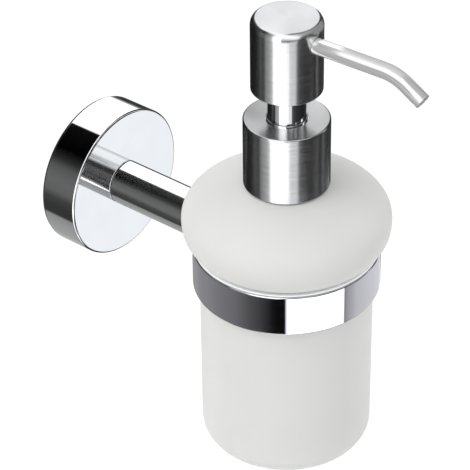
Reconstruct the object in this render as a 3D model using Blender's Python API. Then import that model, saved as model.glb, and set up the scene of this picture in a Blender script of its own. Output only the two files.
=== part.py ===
"""Wall mounted soap dispenser: a round flange and straight arm carry a band ring that holds a
frosted glass bottle with a press pump.

The wall is the plane y = 0 and the object reaches towards -Y. +Z is up. The arm's axis is the
line x = z = 0, and the bottle, collar, stem and head share the vertical line x = 0, y = BOTTLE_Y.
All lengths are in metres.
"""

import math

import bmesh
import bpy
from mathutils import Matrix, Vector

# Clearances between neighbouring pieces.
GAP = 0.0003
SNUG = 0.0002

# Overall placing.
BOTTLE_Y = -0.0885
BIG_STEPS = 48
MID_STEPS = 32
FINE_STEPS = 24

# Wall flange and what it hides.
FLANGE_R = 0.0275
FLANGE_DEPTH = 0.0153
FLANGE_WALL = 0.0022
FACE_THICK = 0.0025
EDGE_BEVEL = 0.0004
FACE_HOLE_R = 0.0052
BRACKET_R = 0.0204
BRACKET_PLATE = 0.003
BRACKET_DEPTH = 0.009
BRACKET_RIM = 0.0022
WALL_SCREW_X = 0.011
WALL_SCREW_R = 0.002
WALL_SCREW_HEAD_R = 0.0039
GRUB_DEPTH = 0.006
GRUB_R = 0.00195
BOLT_R = 0.00285
BOLT_HEAD_R = 0.0049
BOLT_HEAD_LOW = 0.0059
BOLT_HEAD_HIGH = 0.0109
BOLT_END = 0.027
WASHER_R = 0.009

# Arm.
TUBE_R = 0.008
TUBE_WALL = 0.001
TUBE_START = FLANGE_DEPTH + SNUG
TUBE_BLANK_END = 0.062
PLUG_R = TUBE_R - TUBE_WALL - 0.00025
INSERT_END = 0.033
END_PLUG_START = 0.042

# Ring and its liner.
RING_R = 0.0322
RING_BAND = 0.0012
RING_LOW = -0.0095
RING_TOP = 0.0057
RING_BEVEL = 0.00025
LINER_OUT_R = RING_R - RING_BAND - 0.00025
LINER_IN_R = 0.03005
LINER_LOW = -0.0088
LINER_LIP_R = 0.032
LINER_TOP = 0.0066

# Glass bottle.
GLASS_R = 0.0298
GLASS_IN_R = 0.0268
GLASS_LOW = -0.0745
GLASS_CORNER = 0.007
GLASS_FLOOR = -0.069
GLASS_IN_CORNER = 0.0045
PUNT_R = 0.0165
PUNT_RISE = 0.0013
SEAT_Z = 0.0069
IN_SEAT_Z = 0.0095
WIDE_R = 0.0357
WIDE_IN_R = 0.0326
WIDE_Z = 0.0162
DOME_RISE = 0.016
DOME_IN_RISE = 0.0128
NECK_R = 0.01075
NECK_BORE_R = 0.0083
NECK_TOP = 0.0474
THREAD_R = 0.0119
THREAD_LOW = 0.0365
THREAD_PITCH = 0.003175
THREAD_TURNS = 1.5

# Closure.
COLLAR_R = 0.01467
COLLAR_LOW = 0.0312
COLLAR_TOP = 0.0561
COLLAR_SKIN = 0.00062
COLLAR_PLATE = 0.0007
COLLAR_HOLE_R = 0.0072
CAP_R = 0.0138
CAP_BORE_R = 0.0123
CAP_LOW = 0.0319
CAP_TOP = 0.0524
CAP_PLATE = 0.00155
CAP_HOLE_R = 0.0082
GASKET_IN_R = 0.0084
GASKET_OUT_R = 0.0116

# Pump.
HOUSING_FLANGE_R = 0.0119
HOUSING_FLANGE_LOW = 0.04915
HOUSING_FLANGE_TOP = 0.0506
HOUSING_TOP = 0.0544
HOUSING_R = 0.0078
HOUSING_BORE_R = 0.00675
HOUSING_STEP_Z = 0.042
BARREL_LOW = 0.007
BARREL_R = 0.0066
BARREL_BORE_R = 0.0054
CHAMBER_R = 0.0034
PORT_R = 0.0015
SPIGOT_R = 0.0044
SPIGOT_BORE_R = 0.0032
SPIGOT_LOW = -0.012
SPIGOT_TOP = 0.004
GUIDE_IN_R = 0.00335
GUIDE_OUT_R = 0.00655
GUIDE_THICK = 0.0013
BUSH_BORE_R = 0.00665
BUSH_SKIRT_R = 0.0102
BUSH_SKIRT_TOP = 0.0551
BUSH_FOOT_R = 0.0069
BUSH_FOOT_TOP = 0.0567
DIP_R = 0.00295
DIP_BORE_R = 0.002
DIP_TOP = -0.0023
DIP_LOW = -0.066
INLET_BALL_R = 0.0024
INLET_BALL_Z = 0.0016
RETAINER_LOW = 0.0088
RETAINER_R = 0.0051
RETAINER_PIN_R = 0.0014
RETAINER_PIN_LOW = 0.0058
RETAINER_STUB_R = 0.0026
RETAINER_STUB_TOP = 0.013
SPRING_WIRE_R = 0.0004
SPRING_R = 0.0041
SPRING_LOW = 0.0104
SPRING_TOP = 0.0352
SPRING_TURNS = 7
PISTON_R = 0.0052
PISTON_LOW = 0.0354
PISTON_TOP = 0.0416
ROD_R = 0.0031
ROD_BORE_R = 0.0016
ROD_LOW = 0.0356
ROD_TOP = 0.084
OUTLET_BALL_R = 0.0019
OUTLET_BALL_Z = 0.08047
OUTLET_CHAMBER_R = 0.00235

# Stem, head and spout.
STEM_R = 0.00645
STEM_BORE_R = 0.00595
STEM_LOW = 0.0546
STEM_TOP = 0.0738
HEAD_R = 0.01203
HEAD_LOW = 0.0678
HEAD_TOP = 0.094
HEAD_SKIN = 0.0006
HEAD_DISC_R = 0.01028
HEAD_SHOULDER_Z = 0.0912
HEAD_IN_DISC_R = 0.0096
CORE_R = 0.01115
CORE_LOW = 0.074
CORE_TOP = 0.0929
CORE_DISC_R = 0.0093
CORE_SHOULDER_Z = 0.0904
CORE_SPIGOT_R = 0.0057
CORE_SPIGOT_LOW = 0.0692
CORE_SOCKET_R = 0.0033
CHANNEL_R = 0.0014
SPOUT_Z = 0.0873
SPOUT_RISE = math.radians(2.0)
SPOUT_R = 0.0027
SPOUT_BORE_R = 0.002
SPOUT_SOCKET_R = 0.00295
SPOUT_START = 0.0064
SPOUT_STRAIGHT_END = 0.0387
SPOUT_BEND_R = 0.016
SPOUT_DROOP = math.radians(29.5)
SPOUT_TAIL = 0.0076
SPOUT_STEPS = 16
SPOUT_BENDS = 7
SEAL_R = 0.0027
SEAL_BORE_R = 0.0017
SEAL_START = 0.0053

# Metal, glass and plastic: colour, metallic, roughness, transmission.
FINISHES = {
    "chrome": ((0.86, 0.87, 0.88), 1.0, 0.05, 0.0),
    "brushed_steel": ((0.62, 0.62, 0.61), 1.0, 0.3, 0.0),
    "zinc_steel": ((0.55, 0.56, 0.58), 1.0, 0.4, 0.0),
    "brass": ((0.72, 0.55, 0.28), 1.0, 0.35, 0.0),
    "frosted_glass": ((0.92, 0.93, 0.93), 0.0, 0.55, 0.6),
    "clear_plastic": ((0.87, 0.91, 0.96), 0.0, 0.3, 0.5),
    "white_plastic": ((0.88, 0.88, 0.86), 0.0, 0.4, 0.0),
    "natural_plastic": ((0.85, 0.85, 0.8), 0.0, 0.4, 0.3),
    "black_rubber": ((0.03, 0.03, 0.03), 0.0, 0.7, 0.0),
}


def clear_scene():
    for obj in list(bpy.data.objects):
        bpy.data.objects.remove(obj)


def new_collection(name, hidden=False):
    made = bpy.data.collections.new(name)
    bpy.context.scene.collection.children.link(made)
    made.hide_render = hidden
    return made


def finish_of(name, kind):
    """A Principled material of its own for one piece."""
    colour, metallic, rough, transmission = FINISHES[kind]
    made = bpy.data.materials.new(name)
    made.use_nodes = True
    shader = made.node_tree.nodes["Principled BSDF"]
    shader.inputs["Base Color"].default_value = (*colour, 1.0)
    shader.inputs["Metallic"].default_value = metallic
    shader.inputs["Roughness"].default_value = rough
    shader.inputs["Transmission Weight"].default_value = transmission
    return made


def make_object(name, bm, matrix, kind=None, smooth=True):
    """Turns a bmesh into an object; with no kind of finish it is a cutter."""
    bmesh.ops.recalc_face_normals(bm, faces=bm.faces)
    mesh = bpy.data.meshes.new(name)
    bm.to_mesh(mesh)
    bm.free()
    obj = bpy.data.objects.new(name, mesh)
    obj.matrix_world = matrix
    if kind is None:
        CUTTERS.objects.link(obj)
        obj.hide_render = True
        obj.display_type = "WIRE"
        return obj
    PARTS.objects.link(obj)
    mesh.materials.append(finish_of(name, kind))
    if smooth:
        mesh.polygons.foreach_set("use_smooth", [True] * len(mesh.polygons))
        mesh.set_sharp_from_angle(angle=math.radians(35))
    return obj


def lathe(name, profile, matrix, kind=None, steps=MID_STEPS, closed=True):
    """Spins (radius, height) points about local Z. An open profile starts and ends on the axis."""
    bm = bmesh.new()
    points = [bm.verts.new((radius, 0.0, height)) for radius, height in profile]
    edges = [bm.edges.new(pair) for pair in zip(points, points[1:])]
    if closed:
        edges.append(bm.edges.new((points[-1], points[0])))
    bmesh.ops.spin(
        bm, geom=points + edges, cent=(0, 0, 0), axis=(0, 0, 1), angle=2 * math.pi,
        steps=steps, use_merge=True,
    )
    bmesh.ops.remove_doubles(bm, verts=bm.verts, dist=1e-6)
    return make_object(name, bm, matrix, kind)


def box(name, low, high, matrix, kind=None):
    bm = bmesh.new()
    bmesh.ops.create_cube(bm, size=1.0)
    low, high = Vector(low), Vector(high)
    bmesh.ops.scale(bm, vec=high - low, verts=bm.verts)
    bmesh.ops.translate(bm, vec=(low + high) / 2, verts=bm.verts)
    return make_object(name, bm, matrix, kind, smooth=False)


def rod(name, radius, low, high, matrix, kind=None, steps=FINE_STEPS):
    """A plain solid cylinder along local Z."""
    return lathe(name, [(0, low), (radius, low), (radius, high), (0, high)], matrix, kind, steps,
                 closed=False)


def ball(name, radius, height, matrix, kind):
    bm = bmesh.new()
    bmesh.ops.create_uvsphere(bm, u_segments=12, v_segments=8, radius=radius)
    return make_object(name, bm, matrix @ Matrix.Translation((0, 0, height)), kind)


def combine(obj, other, operation="DIFFERENCE"):
    step = obj.modifiers.new(other.name, "BOOLEAN")
    step.operation = operation
    step.solver = "EXACT"
    step.object = other


def arc(centre, radius, start, end, count):
    """Points round a circle in the profile plane, both ends included; angles in degrees."""
    turns = [math.radians(start + (end - start) * i / count) for i in range(count + 1)]
    return [(centre[0] + radius * math.cos(t), centre[1] + radius * math.sin(t)) for t in turns]


def dome(wide_r, rise, end_r, count):
    """The flattened shoulder above its widest line, from that line in to end_r."""
    points = []
    for i in range(count + 1):
        radius = end_r + (wide_r - end_r) * math.cos(math.pi / 2 * i / count) ** 0.8
        share = min(radius / wide_r, 1.0)
        points.append((radius, WIDE_Z + rise * (1 - share**1.7) ** 0.43))
    return points


def underside(wide_r, waist_r, waist_z, count):
    """The shoulder below its widest line, from the waist out; the widest point is left out."""
    points = []
    for i in range(count):
        drop = math.cos(math.pi / 2 * i / count) ** 0.8
        radius = waist_r + (wide_r - waist_r) * (1 - drop**2.2) ** 0.62
        points.append((radius, WIDE_Z - (WIDE_Z - waist_z) * drop))
    return points


def make_bracket():
    rim_r = BRACKET_R - BRACKET_RIM
    plate = lathe("wall_bracket", [
        (0, 0), (BRACKET_R, 0), (BRACKET_R, BRACKET_DEPTH), (rim_r, BRACKET_DEPTH),
        (rim_r, BRACKET_PLATE), (0, BRACKET_PLATE),
    ], FROM_WALL, "zinc_steel", closed=False)
    for side, name in ((-1, "left"), (1, "right")):
        seat = FROM_WALL @ Matrix.Translation((side * WALL_SCREW_X, 0, 0))
        combine(plate, rod("cut_screw_hole_" + name, WALL_SCREW_R + 0.0004, -0.001,
                           BRACKET_PLATE + 0.001, seat))
        make_wall_screw("wall_screw_" + name, seat)


def make_wall_screw(name, seat):
    """A pan head screw; what lies beyond the wall's face is left out."""
    under = BRACKET_PLATE + SNUG
    top = under + 0.0024
    screw = lathe(name, [
        (0, 0), (WALL_SCREW_R, 0), (WALL_SCREW_R, under), (WALL_SCREW_HEAD_R, under),
        (WALL_SCREW_HEAD_R, under + 0.0013), (0.0029, top), (0, top),
    ], seat, "zinc_steel", 16, closed=False)
    for turn in (0, 1):
        slot = box(f"cut_{name}_{turn}", (-0.002, -0.00035, top - 0.0012),
                   (0.002, 0.00035, top + 0.001),
                   seat @ Matrix.Rotation(math.radians(45 + 90 * turn), 4, "Z"))
        combine(screw, slot)


def make_flange():
    inner = FLANGE_R - FLANGE_WALL
    back = FLANGE_DEPTH - FACE_THICK
    flange = lathe("wall_flange", [
        (FLANGE_R - EDGE_BEVEL, 0), (FLANGE_R, EDGE_BEVEL), (FLANGE_R, FLANGE_DEPTH - EDGE_BEVEL),
        (FLANGE_R - EDGE_BEVEL, FLANGE_DEPTH), (FACE_HOLE_R, FLANGE_DEPTH), (FACE_HOLE_R, back),
        (inner, back), (inner, 0),
    ], FROM_WALL, "chrome", BIG_STEPS)
    boss = box("add_grub_boss", (-0.004, -inner - 0.0007, GRUB_DEPTH - 0.0037),
               (0.004, -BRACKET_R - 0.0012, GRUB_DEPTH + 0.0037), FROM_WALL)
    combine(flange, boss, "UNION")
    downward = FROM_WALL @ Matrix.Translation((0, 0, GRUB_DEPTH)) @ Matrix.Rotation(
        math.pi / 2, 4, "X")
    combine(flange, rod("cut_grub_hole", GRUB_R + 0.00025, BRACKET_R - 0.002, FLANGE_R + 0.003,
                        downward))
    outer_end = FLANGE_R - GAP
    grub = rod("grub_screw", GRUB_R, BRACKET_R + GAP, outer_end, downward, "zinc_steel")
    combine(grub, rod("cut_grub_socket", 0.0011, outer_end - 0.0022, outer_end + 0.001, downward,
                      steps=6))


def make_arm():
    bolt = lathe("arm_bolt", [
        (0, BOLT_HEAD_LOW), (BOLT_HEAD_R, BOLT_HEAD_LOW), (BOLT_HEAD_R, BOLT_HEAD_HIGH),
        (BOLT_R, BOLT_HEAD_HIGH), (BOLT_R, BOLT_END), (0, BOLT_END),
    ], FROM_WALL, "zinc_steel", FINE_STEPS, closed=False)
    combine(bolt, rod("cut_bolt_socket", 0.0029, BOLT_HEAD_LOW - 0.001, BOLT_HEAD_LOW + 0.0028,
                      FROM_WALL, steps=6))
    washer_low, washer_high = BOLT_HEAD_HIGH + SNUG, FLANGE_DEPTH - FACE_THICK - SNUG
    lathe("arm_washer", [
        (BOLT_R + 0.0004, washer_low), (WASHER_R, washer_low), (WASHER_R, washer_high),
        (BOLT_R + 0.0004, washer_high),
    ], FROM_WALL, "zinc_steel", FINE_STEPS)
    bore, spigot = BOLT_R + 0.00025, FACE_HOLE_R - 0.00025
    start = washer_high + 0.0004
    lathe("arm_insert", [
        (0, BOLT_END + 0.002), (bore, BOLT_END + 0.002), (bore, start), (spigot, start),
        (spigot, TUBE_START), (PLUG_R, TUBE_START), (PLUG_R, INSERT_END), (0, INSERT_END),
    ], FROM_WALL, "brass", FINE_STEPS, closed=False)
    tube = lathe("arm_tube", [
        (TUBE_R - TUBE_WALL, TUBE_START), (TUBE_R, TUBE_START), (TUBE_R, TUBE_BLANK_END),
        (TUBE_R - TUBE_WALL, TUBE_BLANK_END),
    ], FROM_WALL, "chrome", MID_STEPS)
    plug = rod("arm_end_plug", PLUG_R, END_PLUG_START, TUBE_BLANK_END, FROM_WALL, "brass")
    cope = rod("cut_arm_cope", RING_R + SNUG, -0.02, 0.02, ON_AXIS, steps=BIG_STEPS)
    combine(tube, cope)
    combine(plug, cope)


def make_ring():
    inner, bevel = RING_R - RING_BAND, RING_BEVEL
    lathe("holder_ring", [
        (inner, RING_LOW), (RING_R - bevel, RING_LOW), (RING_R, RING_LOW + bevel),
        (RING_R, RING_TOP - bevel), (RING_R - bevel, RING_TOP), (inner, RING_TOP),
    ], ON_AXIS, "chrome", BIG_STEPS)
    lip = RING_TOP + 0.00025
    lathe("ring_liner", [
        (LINER_IN_R, LINER_LOW), (LINER_OUT_R, LINER_LOW), (LINER_OUT_R, lip), (LINER_LIP_R, lip),
        (LINER_LIP_R, LINER_TOP), (LINER_IN_R, LINER_TOP),
    ], ON_AXIS, "clear_plastic", BIG_STEPS)


def make_bottle():
    foot_r = GLASS_R - GLASS_CORNER
    outside = [(0, GLASS_LOW + PUNT_RISE), (PUNT_R, GLASS_LOW + PUNT_RISE),
               (PUNT_R + 0.0015, GLASS_LOW)]
    outside += arc((foot_r, GLASS_LOW + GLASS_CORNER), GLASS_CORNER, -90, 0, 5)
    outside += underside(WIDE_R, GLASS_R, SEAT_Z, 5)
    outside += dome(WIDE_R, DOME_RISE, NECK_R, 8)
    outside += [(NECK_R, NECK_TOP - EDGE_BEVEL), (NECK_R - EDGE_BEVEL, NECK_TOP),
                (NECK_BORE_R, NECK_TOP)]
    inside = [(0, GLASS_FLOOR)]
    inside += arc((GLASS_IN_R - GLASS_IN_CORNER, GLASS_FLOOR + GLASS_IN_CORNER),
                  GLASS_IN_CORNER, -90, 0, 3)
    inside += underside(WIDE_IN_R, GLASS_IN_R, IN_SEAT_Z, 3)
    inside += dome(WIDE_IN_R, DOME_IN_RISE, NECK_BORE_R, 5)
    bottle = lathe("glass_bottle", outside + inside[::-1], ON_AXIS, "frosted_glass", BIG_STEPS,
                   closed=False)
    combine(bottle, make_thread(), "UNION")


def make_thread():
    """The helical ridge on the neck, tapering away at both ends."""
    bm = bmesh.new()
    count = int(THREAD_TURNS * MID_STEPS)
    root = NECK_R - 0.0006
    rings = []
    for i in range(count + 1):
        share = i / count
        turn = 2 * math.pi * THREAD_TURNS * share
        centre = THREAD_LOW + THREAD_PITCH * THREAD_TURNS * share
        crest = root + (THREAD_R - root) * (0.15 + 0.85 * min(1.0, 8 * share, 8 * (1 - share)))
        section = ((root, -0.0009), (crest, -0.0004), (crest, 0.0004), (root, 0.0009))
        rings.append([bm.verts.new((radius * math.cos(turn), radius * math.sin(turn), centre + up))
                      for radius, up in section])
    for here, there in zip(rings, rings[1:]):
        for k in range(4):
            bm.faces.new((here[k], here[(k + 1) % 4], there[(k + 1) % 4], there[k]))
    bm.faces.new(rings[0])
    bm.faces.new(rings[-1])
    return make_object("add_neck_thread", bm, ON_AXIS)


def make_closure():
    inner, bevel = COLLAR_R - COLLAR_SKIN, EDGE_BEVEL
    lathe("collar_shell", [
        (inner, COLLAR_LOW), (COLLAR_R, COLLAR_LOW), (COLLAR_R, COLLAR_TOP - bevel),
        (COLLAR_R - bevel, COLLAR_TOP), (COLLAR_HOLE_R, COLLAR_TOP),
        (COLLAR_HOLE_R, COLLAR_TOP - COLLAR_PLATE), (inner, COLLAR_TOP - COLLAR_PLATE),
    ], ON_AXIS, "brushed_steel", BIG_STEPS)
    lathe("closure_cap", [
        (CAP_BORE_R, CAP_LOW), (CAP_R, CAP_LOW), (CAP_R, CAP_TOP), (CAP_HOLE_R, CAP_TOP),
        (CAP_HOLE_R, CAP_TOP - CAP_PLATE), (CAP_BORE_R, CAP_TOP - CAP_PLATE),
    ], ON_AXIS, "white_plastic", MID_STEPS)
    low, high = NECK_TOP + 0.00025, HOUSING_FLANGE_LOW - 0.00025
    lathe("neck_gasket", [
        (GASKET_IN_R, low), (GASKET_OUT_R, low), (GASKET_OUT_R, high), (GASKET_IN_R, high),
    ], ON_AXIS, "black_rubber", FINE_STEPS)


def make_housing():
    """The pump's cylinder: bore, inlet ball chamber and dip tube socket in one moulding."""
    outside = [
        (SPIGOT_R, SPIGOT_LOW), (SPIGOT_R, SPIGOT_TOP), (BARREL_R, BARREL_LOW),
        (BARREL_R, HOUSING_STEP_Z - 0.0014),
        (HOUSING_R, HOUSING_STEP_Z - 0.0004), (HOUSING_R, HOUSING_FLANGE_LOW),
        (HOUSING_FLANGE_R, HOUSING_FLANGE_LOW), (HOUSING_FLANGE_R, HOUSING_FLANGE_TOP),
        (HOUSING_R, HOUSING_FLANGE_TOP), (HOUSING_R, HOUSING_TOP),
    ]
    inside = [
        (HOUSING_BORE_R, HOUSING_TOP), (HOUSING_BORE_R, HOUSING_STEP_Z),
        (BARREL_BORE_R, HOUSING_STEP_Z), (BARREL_BORE_R, RETAINER_LOW - GAP),
        (CHAMBER_R, 0.0055), (CHAMBER_R, 0.001), (PORT_R, -0.0006), (PORT_R, -0.002),
        (SPIGOT_BORE_R, -0.002), (SPIGOT_BORE_R, SPIGOT_LOW),
    ]
    lathe("pump_housing", outside + inside, ON_AXIS, "natural_plastic", FINE_STEPS)
    lathe("dip_tube", [
        (DIP_BORE_R, DIP_LOW), (DIP_R, DIP_LOW), (DIP_R, DIP_TOP), (DIP_BORE_R, DIP_TOP),
    ], ON_AXIS, "natural_plastic", 16)
    lathe("rod_guide", [
        (GUIDE_IN_R, HOUSING_STEP_Z + SNUG), (GUIDE_OUT_R, HOUSING_STEP_Z + SNUG),
        (GUIDE_OUT_R, HOUSING_STEP_Z + GUIDE_THICK), (GUIDE_IN_R, HOUSING_STEP_Z + GUIDE_THICK),
    ], ON_AXIS, "white_plastic", FINE_STEPS)
    skirt_r, low, top = HOUSING_R + 0.00025, CAP_TOP + 0.00025, HOUSING_TOP + 0.00025
    lathe("stem_bush", [
        (skirt_r, low), (BUSH_SKIRT_R, low), (BUSH_SKIRT_R, BUSH_SKIRT_TOP),
        (BUSH_FOOT_R, BUSH_SKIRT_TOP), (BUSH_FOOT_R, BUSH_FOOT_TOP), (BUSH_BORE_R, BUSH_FOOT_TOP),
        (BUSH_BORE_R, top), (skirt_r, top),
    ], ON_AXIS, "chrome", MID_STEPS)


def make_valves():
    ball("inlet_ball", INLET_BALL_R, INLET_BALL_Z, ON_AXIS, "zinc_steel")
    ball("outlet_ball", OUTLET_BALL_R, OUTLET_BALL_Z, ON_AXIS, "zinc_steel")
    disc_top = SPRING_LOW - SNUG
    retainer = lathe("ball_retainer", [
        (0, RETAINER_PIN_LOW), (RETAINER_PIN_R, RETAINER_PIN_LOW), (RETAINER_PIN_R, RETAINER_LOW),
        (RETAINER_R, RETAINER_LOW), (RETAINER_R, disc_top), (RETAINER_STUB_R, disc_top),
        (RETAINER_STUB_R, RETAINER_STUB_TOP), (0, RETAINER_STUB_TOP),
    ], ON_AXIS, "white_plastic", FINE_STEPS, closed=False)
    for turn in range(4):
        notch = box(f"cut_retainer_notch_{turn}", (0.0032, -0.0008, RETAINER_LOW - 0.001),
                    (0.006, 0.0008, disc_top + 0.001),
                    ON_AXIS @ Matrix.Rotation(math.radians(45 + 90 * turn), 4, "Z"))
        combine(retainer, notch)


def make_spring():
    curve = bpy.data.curves.new("return_spring", "CURVE")
    curve.dimensions = "3D"
    curve.bevel_depth = SPRING_WIRE_R
    curve.bevel_resolution = 1
    curve.use_fill_caps = True
    count = SPRING_TURNS * 16
    line = curve.splines.new("POLY")
    line.points.add(count)
    low, high = SPRING_LOW + SPRING_WIRE_R, SPRING_TOP - SPRING_WIRE_R
    for i, point in enumerate(line.points):
        turn = 2 * math.pi * SPRING_TURNS * i / count
        height = low + (high - low) * i / count
        point.co = (SPRING_R * math.cos(turn), SPRING_R * math.sin(turn), height, 1.0)
    curve.materials.append(finish_of("return_spring", "zinc_steel"))
    spring = bpy.data.objects.new("return_spring", curve)
    spring.matrix_world = ON_AXIS
    PARTS.objects.link(spring)


def make_plunger():
    waist = PISTON_R - 0.0006
    lathe("piston_seal", [
        (ROD_R + SNUG, PISTON_LOW), (PISTON_R, PISTON_LOW), (PISTON_R, PISTON_LOW + 0.0012),
        (waist, PISTON_LOW + 0.002), (waist, PISTON_TOP - 0.002), (PISTON_R, PISTON_TOP - 0.0012),
        (PISTON_R, PISTON_TOP), (ROD_R + SNUG, PISTON_TOP),
    ], ON_AXIS, "white_plastic", FINE_STEPS)
    lathe("piston_rod", [
        (ROD_BORE_R, ROD_LOW), (ROD_R, ROD_LOW), (ROD_R, ROD_TOP), (OUTLET_CHAMBER_R, ROD_TOP),
        (OUTLET_CHAMBER_R, ROD_TOP - 0.0044), (ROD_BORE_R, ROD_TOP - 0.005),
    ], ON_AXIS, "natural_plastic", FINE_STEPS)
    lathe("stem_sleeve", [
        (STEM_BORE_R, STEM_LOW), (STEM_R, STEM_LOW), (STEM_R, STEM_TOP), (STEM_BORE_R, STEM_TOP),
    ], ON_AXIS, "chrome", MID_STEPS)


def make_head():
    inner, under = HEAD_R - HEAD_SKIN, HEAD_TOP - 0.0008
    shoulder = [
        (HEAD_DISC_R + (HEAD_R - HEAD_DISC_R) * math.cos(t),
         HEAD_SHOULDER_Z + (HEAD_TOP - HEAD_SHOULDER_Z) * math.sin(t))
        for t in (math.pi / 8 * i for i in range(5))
    ]
    shell = lathe("head_shell", [
        (0, under), (HEAD_IN_DISC_R, under), (inner, HEAD_SHOULDER_Z - 0.0003), (inner, HEAD_LOW),
        (HEAD_R, HEAD_LOW), *shoulder, (0, HEAD_TOP),
    ], ON_AXIS, "brushed_steel", BIG_STEPS, closed=False)
    socket_top = ROD_TOP + GAP
    core = lathe("head_core", [
        (0, SPOUT_Z + 0.001), (CHANNEL_R, SPOUT_Z + 0.001), (CHANNEL_R, socket_top),
        (CORE_SOCKET_R, socket_top), (CORE_SOCKET_R, CORE_SPIGOT_LOW),
        (CORE_SPIGOT_R, CORE_SPIGOT_LOW), (CORE_SPIGOT_R, CORE_LOW), (CORE_R, CORE_LOW),
        (CORE_R, CORE_SHOULDER_Z), (CORE_DISC_R, CORE_TOP), (0, CORE_TOP),
    ], ON_AXIS, "white_plastic", MID_STEPS, closed=False)
    combine(shell, rod("cut_spout_hole", SPOUT_SOCKET_R, 0.007, 0.016, ALONG_SPOUT))
    seal_end = SPOUT_START - SNUG
    combine(core, lathe("cut_spout_socket", [
        (0, 0), (CHANNEL_R, 0), (CHANNEL_R, 0.005), (SPOUT_SOCKET_R, 0.005),
        (SPOUT_SOCKET_R, 0.016), (0, 0.016),
    ], ALONG_SPOUT, steps=FINE_STEPS, closed=False))
    lathe("spout_seal", [
        (SEAL_BORE_R, SEAL_START), (SEAL_R, SEAL_START), (SEAL_R, seal_end),
        (SEAL_BORE_R, seal_end),
    ], ALONG_SPOUT, "black_rubber", FINE_STEPS)


def spout_path():
    """(outward, up, slope) along the spout: straight, a bend, then a straight tail."""
    points = [(distance * math.cos(SPOUT_RISE), distance * math.sin(SPOUT_RISE), SPOUT_RISE)
              for distance in (SPOUT_START, SPOUT_STRAIGHT_END)]
    out, up, _ = points[-1]
    for i in range(1, SPOUT_BENDS + 1):
        slope = SPOUT_RISE - (SPOUT_RISE + SPOUT_DROOP) * i / SPOUT_BENDS
        points.append((out + SPOUT_BEND_R * (math.sin(SPOUT_RISE) - math.sin(slope)),
                       up - SPOUT_BEND_R * (math.cos(SPOUT_RISE) - math.cos(slope)), slope))
    out, up, slope = points[-1]
    points.append((out + SPOUT_TAIL * math.cos(slope), up + SPOUT_TAIL * math.sin(slope), slope))
    return points


def make_spout():
    bm = bmesh.new()
    walls = []
    for out, up, slope in spout_path():
        centre = Vector((0, -out, SPOUT_Z + up))
        across, over = Vector((1, 0, 0)), Vector((0, math.sin(slope), math.cos(slope)))
        for radius in (SPOUT_R, SPOUT_BORE_R):
            walls.append([
                bm.verts.new(centre + across * radius * math.cos(t) + over * radius * math.sin(t))
                for t in (2 * math.pi * k / SPOUT_STEPS for k in range(SPOUT_STEPS))
            ])
    outer, inner = walls[0::2], walls[1::2]
    pairs = list(zip(outer, outer[1:])) + list(zip(inner, inner[1:]))
    for here, there in pairs + [(outer[0], inner[0]), (outer[-1], inner[-1])]:
        for k in range(SPOUT_STEPS):
            nxt = (k + 1) % SPOUT_STEPS
            bm.faces.new((here[k], here[nxt], there[nxt], there[k]))
    make_object("spout_tube", bm, ON_AXIS, "brushed_steel")


clear_scene()
PARTS = new_collection("soap_dispenser")
CUTTERS = new_collection("cutters", hidden=True)
# Local +Z runs out of the wall along the arm, up the bottle's axis, or out along the spout.
FROM_WALL = Matrix.Rotation(math.pi / 2, 4, "X")
ON_AXIS = Matrix.Translation((0, BOTTLE_Y, 0))
ALONG_SPOUT = (Matrix.Translation((0, BOTTLE_Y, SPOUT_Z))
               @ Matrix.Rotation(math.pi / 2 - SPOUT_RISE, 4, "X"))

make_bracket()
make_flange()
make_arm()
make_ring()
make_bottle()
make_closure()
make_housing()
make_valves()
make_spring()
make_plunger()
make_head()
make_spout()
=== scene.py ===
"""The looks of the wall mounted soap dispenser.

The frame gives the object at rest: the wall is the plane y = 0, the object reaches towards -Y and
+Z is up. The shapes below are in millimetres, and each is placed in the frame in metres.
"""

import math

import bmesh
import bpy
import numpy as np
from mathutils import Matrix, Vector


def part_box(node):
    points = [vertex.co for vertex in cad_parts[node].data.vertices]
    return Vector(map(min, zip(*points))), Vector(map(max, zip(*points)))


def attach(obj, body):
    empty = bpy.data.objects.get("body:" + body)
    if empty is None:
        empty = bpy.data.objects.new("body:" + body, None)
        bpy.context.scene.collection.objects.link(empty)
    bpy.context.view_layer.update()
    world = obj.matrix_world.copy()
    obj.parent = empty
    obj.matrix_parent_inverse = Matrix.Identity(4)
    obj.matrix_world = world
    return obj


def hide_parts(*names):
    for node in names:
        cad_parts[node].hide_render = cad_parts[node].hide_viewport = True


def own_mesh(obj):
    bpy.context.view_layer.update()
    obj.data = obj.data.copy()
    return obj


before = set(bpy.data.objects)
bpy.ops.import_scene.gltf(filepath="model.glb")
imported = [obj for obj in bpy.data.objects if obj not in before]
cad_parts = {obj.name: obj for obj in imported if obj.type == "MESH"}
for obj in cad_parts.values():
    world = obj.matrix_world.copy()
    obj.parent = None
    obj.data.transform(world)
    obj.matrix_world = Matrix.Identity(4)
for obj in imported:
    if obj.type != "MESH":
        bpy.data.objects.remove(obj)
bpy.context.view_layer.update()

MM = 0.001
# Segments round a turned piece, along one turn of the thread, round a hole and along a fillet.
TURNED_STEPS, THREAD_STEPS, HOLE_STEPS, FILLET_STEPS = 192, 128, 96, 5
SHARP_ANGLE = math.radians(30)
MERGE_DISTANCE = 1e-6


# --- Placing ---------------------------------------------------------------------------------

collar_low, collar_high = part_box("collar_shell")
AXIS_Y = (collar_low.y + collar_high.y) / 2
SPOUT_Z = 87.3 * MM
SPOUT_RISE = math.radians(2.0)
SPOUT_DROOP = math.radians(29.5)
# Local +Z runs out of the wall along the arm, up the bottle's axis, or out along the spout.
FROM_WALL = Matrix.Rotation(math.pi / 2, 4, "X")
ON_AXIS = Matrix.Translation((0, AXIS_Y, 0))
ALONG_SPOUT = (Matrix.Translation((0, AXIS_Y, SPOUT_Z))
               @ Matrix.Rotation(math.pi / 2 - SPOUT_RISE, 4, "X"))


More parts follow.
